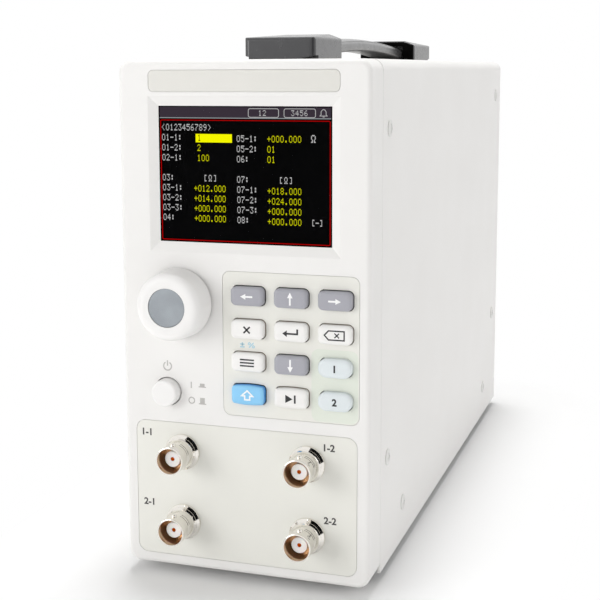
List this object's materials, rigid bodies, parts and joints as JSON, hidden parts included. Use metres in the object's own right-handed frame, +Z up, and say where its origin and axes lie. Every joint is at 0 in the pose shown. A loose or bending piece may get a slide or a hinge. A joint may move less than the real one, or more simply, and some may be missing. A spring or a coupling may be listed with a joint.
{
  "type": "bench lcr meter",
  "caption": "Tall narrow bench LCR meter: off-white case with colour display, keypad, control knob, power button, coaxial bayonet terminals and a black strap handle on top.",
  "frame": {"origin": "on the surface the feet stand on, under the middle of the whole length and width", "axes": "+Z up, +Y from the front face to the rear, +X to the right seen from the front"},
  "size_m": [0.0894, 0.28, 0.1887],
  "materials": {
    "case_plastic": "fine moulded texture, off-white",
    "case_paint": "fine powder coat, off-white",
    "label_film": "smooth satin",
    "print_film": "satin printed film, warm grey",
    "window": "clear",
    "display_black": "lit colour picture on black",
    "white_plastic": "satin moulded",
    "grey_insert": "fine matte grain",
    "white_key": "satin moulded with printed legend",
    "grey_key": "satin moulded with printed legend",
    "blue_key": "satin moulded with printed legend",
    "pale_blue_key": "satin moulded with printed legend",
    "nickel": "bright nickel plate",
    "ptfe": "waxy white",
    "gold_contact": "gold plated",
    "handle_plastic": "satin black moulding",
    "handle_strap": "satin black",
    "painted_screw": "off-white painted",
    "zinc_steel": "zinc plated",
    "rubber": "matte black",
    "circuit_board": "solder resist",
    "transformer": "varnished laminations",
    "lead_jacket": "vinyl jacket",
    "ribbon": "flat flexible cable",
    "dark_plastic": "moulded black"
  },
  "bodies": {
    "case": {"front_bezel": "case_plastic", "front_frame": "zinc_steel", "cover": "case_paint", "chassis": "zinc_steel", "rear_panel": "case_paint", "header_label": "label_film", "display_window": "window", "lcd_module": "display_black", "keypad_overlay": "print_film", "terminal_overlay": "print_film", "key_board": "circuit_board", "tact_switches": "dark_plastic", "encoder_body": "dark_plastic", "encoder_nut": "zinc_steel", "power_switch": "dark_plastic", "bnc_contacts": "gold_contact", "bnc_nuts": "nickel", "handle_front_cap": "handle_plastic", "handle_rear_cap": "handle_plastic", "handle_strap": "handle_strap", "handle_screws": "zinc_steel", "cover_screws": "painted_screw", "inner_screws": "zinc_steel", "feet": "rubber", "foot_screws": "zinc_steel", "main_board": "circuit_board", "transformer": "transformer", "signal_leads": "lead_jacket", "mains_leads": "lead_jacket", "ribbon_cables": "ribbon", "mains_inlet": "dark_plastic", "inlet_pins": "nickel", "serial_port_shell": "nickel", "serial_port_insert": "dark_plastic", "bnc_shell_1": "nickel", "bnc_insulator_1": "ptfe", "bnc_shell_2": "nickel", "bnc_insulator_2": "ptfe", "bnc_shell_3": "nickel", "bnc_insulator_3": "ptfe", "bnc_shell_4": "nickel", "bnc_insulator_4": "ptfe"},
    "key_left": {"key_left": "grey_key"},
    "key_up": {"key_up": "grey_key"},
    "key_right": {"key_right": "grey_key"},
    "key_escape": {"key_escape": "white_key"},
    "key_enter": {"key_enter": "white_key"},
    "key_clear": {"key_clear": "white_key"},
    "key_menu": {"key_menu": "white_key"},
    "key_down": {"key_down": "grey_key"},
    "key_a": {"key_a": "pale_blue_key"},
    "key_shift": {"key_shift": "blue_key"},
    "key_start": {"key_start": "white_key"},
    "key_b": {"key_b": "pale_blue_key"},
    "power_button": {"power_button": "white_plastic"},
    "control_push": {"encoder_plunger": "white_plastic"},
    "knob": {"knob": "white_plastic", "knob_insert": "grey_insert", "encoder_shaft": "zinc_steel"},
    "fuse_drawer": {"fuse_drawer": "dark_plastic"}
  },
  "joints": [
    {"name": "key_left_press", "type": "slide", "parent": "case", "child": "key_left", "axis": [0, 1, 0], "range_m": [0, 0.001], "stiffness_N_per_m": 600},
    {"name": "key_up_press", "type": "slide", "parent": "case", "child": "key_up", "axis": [0, 1, 0], "range_m": [0, 0.001], "stiffness_N_per_m": 600},
    {"name": "key_right_press", "type": "slide", "parent": "case", "child": "key_right", "axis": [0, 1, 0], "range_m": [0, 0.001], "stiffness_N_per_m": 600},
    {"name": "key_escape_press", "type": "slide", "parent": "case", "child": "key_escape", "axis": [0, 1, 0], "range_m": [0, 0.001], "stiffness_N_per_m": 600},
    {"name": "key_enter_press", "type": "slide", "parent": "case", "child": "key_enter", "axis": [0, 1, 0], "range_m": [0, 0.001], "stiffness_N_per_m": 600},
    {"name": "key_clear_press", "type": "slide", "parent": "case", "child": "key_clear", "axis": [0, 1, 0], "range_m": [0, 0.001], "stiffness_N_per_m": 600},
    {"name": "key_menu_press", "type": "slide", "parent": "case", "child": "key_menu", "axis": [0, 1, 0], "range_m": [0, 0.001], "stiffness_N_per_m": 600},
    {"name": "key_down_press", "type": "slide", "parent": "case", "child": "key_down", "axis": [0, 1, 0], "range_m": [0, 0.001], "stiffness_N_per_m": 600},
    {"name": "key_a_press", "type": "slide", "parent": "case", "child": "key_a", "axis": [0, 1, 0], "range_m": [0, 0.001], "stiffness_N_per_m": 600},
    {"name": "key_shift_press", "type": "slide", "parent": "case", "child": "key_shift", "axis": [0, 1, 0], "range_m": [0, 0.001], "stiffness_N_per_m": 600},
    {"name": "key_start_press", "type": "slide", "parent": "case", "child": "key_start", "axis": [0, 1, 0], "range_m": [0, 0.001], "stiffness_N_per_m": 600},
    {"name": "key_b_press", "type": "slide", "parent": "case", "child": "key_b", "axis": [0, 1, 0], "range_m": [0, 0.001], "stiffness_N_per_m": 600},
    {"name": "power_press", "type": "slide", "parent": "case", "child": "power_button", "axis": [0, 1, 0], "range_m": [0, 0.003], "stiffness_N_per_m": 800},
    {"name": "knob_push", "type": "slide", "parent": "case", "child": "control_push", "axis": [0, 1, 0], "range_m": [0, 0.0005], "stiffness_N_per_m": 6000},
    {"name": "knob_turn", "type": "hinge", "parent": "control_push", "child": "knob", "pos_m": [-0.0229, -0.133, 0.09757], "axis": [0, 1, 0], "continuous": true},
    {"name": "fuse_drawer_slide", "type": "slide", "parent": "case", "child": "fuse_drawer", "axis": [0, 1, 0], "range_m": [0, 0.018]}
  ]
}
